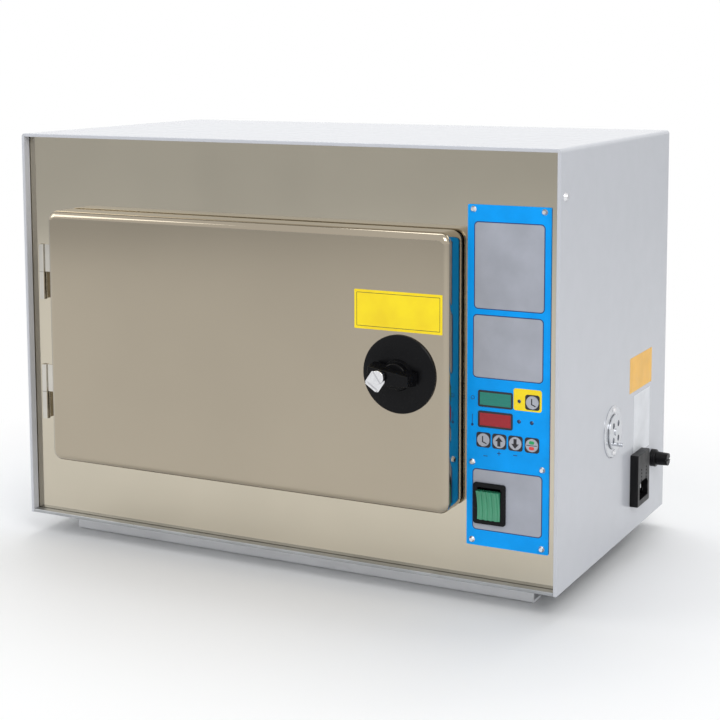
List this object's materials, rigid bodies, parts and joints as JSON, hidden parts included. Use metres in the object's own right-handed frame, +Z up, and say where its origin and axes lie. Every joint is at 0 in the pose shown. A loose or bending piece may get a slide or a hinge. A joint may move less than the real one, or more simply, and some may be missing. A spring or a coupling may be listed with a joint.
{
  "type": "hot air sterilizer",
  "caption": "Bench-top sterilizing oven: sheet-metal case, insulated chamber with sliding trays, hinged door with a turning latch, and a side control fascia with displays and keys.",
  "frame": {"origin": "centre of the bounding box in plan, at the height of the surface the foot rails stand on", "axes": "+Z up; the door and controls face -Y; +X is to the viewer's right"},
  "size_m": [0.5382, 0.341, 0.374],
  "materials": {
    "cover_paint": "glossy light grey paint",
    "mirror_steel": "bright annealed steel, mirror-like",
    "door_steel": "bright annealed steel, softly polished",
    "base_metal": "plain zinc-coated sheet",
    "rail_metal": "pale satin paint",
    "chamber_steel": "satin steel",
    "insulation": "matt mineral wool",
    "heater_sheath": "dark annealed sheath",
    "tray_metal": "satin",
    "probe_metal": "polished",
    "gasket_rubber": "black silicone",
    "hinge_metal": "polished",
    "bush_metal": "machined",
    "spindle_metal": "machined",
    "black_plastic": "black, slight gloss",
    "screw_metal": "bright plated",
    "fascia_print": "azure printed face with grey windows",
    "board_green": "circuit board",
    "display_green": "green display window",
    "display_red": "red display window",
    "lamp_plastic": "red lens",
    "key_plastic": "grey printed face",
    "switch_black": "black",
    "rocker_green": "green translucent",
    "cap_plastic": "black",
    "vent_metal": "bright",
    "transformer_iron": "varnished",
    "relay_plastic": "dark blue",
    "terminal_plastic": "off-white"
  },
  "bodies": {
    "case": {"base_tray": "base_metal", "bulkhead": "base_metal", "case_screws": "screw_metal", "chamber": "chamber_steel", "chamber_insulation": "insulation", "control_board": "board_green", "control_fascia": "fascia_print", "fascia_screws": "screw_metal", "floor_plate": "chamber_steel", "foot_rail_front": "rail_metal", "foot_rail_rear": "rail_metal", "frame_hinges": "hinge_metal", "front_panel": "mirror_steel", "fuse_holder": "cap_plastic", "heating_element": "heater_sheath", "hinge_pins": "spindle_metal", "indicator_lamps": "lamp_plastic", "inlet_pins": "screw_metal", "latch_keeper": "chamber_steel", "outer_cover": "cover_paint", "power_inlet": "cap_plastic", "power_relay": "relay_plastic", "rack_left": "chamber_steel", "rack_right": "chamber_steel", "rear_panel": "base_metal", "safety_thermostat": "terminal_plastic", "switch_body": "switch_black", "temperature_display": "display_red", "temperature_probe": "probe_metal", "terminal_block": "terminal_plastic", "time_display": "display_green", "transformer": "transformer_iron", "vent_flange": "vent_metal", "vent_screws": "screw_metal", "vent_tube": "vent_metal"},
    "door": {"door_skin": "door_steel", "door_inner_pan": "chamber_steel", "door_insulation": "insulation", "door_gasket": "gasket_rubber", "door_hinges": "hinge_metal", "escutcheon": "black_plastic", "spindle_bush": "bush_metal"},
    "latch": {"handle_grip": "black_plastic", "spindle": "spindle_metal", "latch_tongue": "spindle_metal", "tongue_nut": "screw_metal", "index_tab": "screw_metal", "tab_screw": "screw_metal"},
    "tray_low": {"tray_lower": "tray_metal"},
    "tray_high": {"tray_upper": "tray_metal"},
    "switch_rocker": {"rocker": "rocker_green"},
    "damper": {"vent_damper": "vent_metal"},
    "fuse_cover": {"fuse_cap": "cap_plastic"},
    "key_select_body": {"key_select": "key_plastic"},
    "key_clock_body": {"key_clock": "key_plastic"},
    "key_up_body": {"key_up": "key_plastic"},
    "key_down_body": {"key_down": "key_plastic"},
    "key_start_body": {"key_start": "key_plastic"}
  },
  "joints": [
    {"name": "door_hinge", "type": "hinge", "parent": "case", "child": "door", "pos_m": [-0.2436, -0.12395, 0.1935], "axis": [0, 0, -1], "range_deg": [0, 120]},
    {"name": "latch_turn", "type": "hinge", "parent": "door", "child": "latch", "pos_m": [0.1267, -0.14295, 0.1915], "axis": [0, -1, 0], "range_deg": [0, 90]},
    {"name": "tray_low_slide", "type": "slide", "parent": "case", "child": "tray_low", "axis": [0, -1, 0], "range_m": [0, 0.126]},
    {"name": "tray_high_slide", "type": "slide", "parent": "case", "child": "tray_high", "axis": [0, -1, 0], "range_m": [0, 0.126]},
    {"name": "rocker_tilt", "type": "hinge", "parent": "case", "child": "switch_rocker", "pos_m": [0.1932, -0.11265, 0.086], "axis": [-1, 0, 0], "range_deg": [0, 16]},
    {"name": "damper_turn", "type": "hinge", "parent": "case", "child": "damper", "pos_m": [0.2531, 0.01305, 0.124], "axis": [1, 0, 0], "range_deg": [0, 45]},
    {"name": "fuse_cap_turn", "type": "hinge", "parent": "case", "child": "fuse_cover", "pos_m": [0.2531, 0.12905, 0.074], "axis": [1, 0, 0], "range_deg": [0, 60]},
    {"name": "key_select_press", "type": "slide", "parent": "case", "child": "key_select_body", "axis": [0, 1, 0], "range_m": [0, 0.0006], "stiffness_N_per_m": 300},
    {"name": "key_clock_press", "type": "slide", "parent": "case", "child": "key_clock_body", "axis": [0, 1, 0], "range_m": [0, 0.0006], "stiffness_N_per_m": 300},
    {"name": "key_up_press", "type": "slide", "parent": "case", "child": "key_up_body", "axis": [0, 1, 0], "range_m": [0, 0.0006], "stiffness_N_per_m": 300},
    {"name": "key_down_press", "type": "slide", "parent": "case", "child": "key_down_body", "axis": [0, 1, 0], "range_m": [0, 0.0006], "stiffness_N_per_m": 300},
    {"name": "key_start_press", "type": "slide", "parent": "case", "child": "key_start_body", "axis": [0, 1, 0], "range_m": [0, 0.0006], "stiffness_N_per_m": 300}
  ],
  "couplings": [
    {"joint": "tray_low_slide", "follows": "door_hinge", "m_per_rad": 0.06},
    {"joint": "tray_high_slide", "follows": "door_hinge", "m_per_rad": 0.06}
  ]
}
